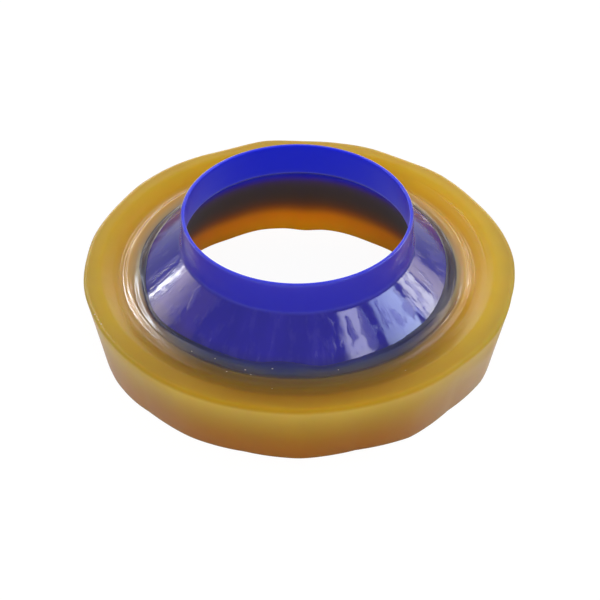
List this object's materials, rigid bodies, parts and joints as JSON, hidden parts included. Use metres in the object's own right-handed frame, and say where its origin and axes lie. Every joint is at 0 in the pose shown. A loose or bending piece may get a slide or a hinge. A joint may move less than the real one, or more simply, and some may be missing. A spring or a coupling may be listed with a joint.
{
  "type": "wax toilet pan seal with flanged sleeve",
  "caption": "Cast wax ring round the flared foot of a short plastic sleeve, sealing a toilet pan's outlet to the waste pipe under it.",
  "frame": {"origin": "on the sleeve's axis, at the flat face of the wax ring that the seal lies on", "axes": "+Z along the sleeve's axis, from the flat wax face towards the open end of the neck; +X to the right in the usual view from -Y"},
  "size_m": [0.1309, 0.1314, 0.0418],
  "materials": {
    "sleeve_plastic": "smooth glossy moulded plastic with smears of wax near the ring",
    "seal_wax": "soft translucent amber wax with a slightly greasy sheen"
  },
  "bodies": {
    "root": {"flanged_sleeve": "sleeve_plastic", "wax_ring": "seal_wax"}
  },
  "joints": []
}
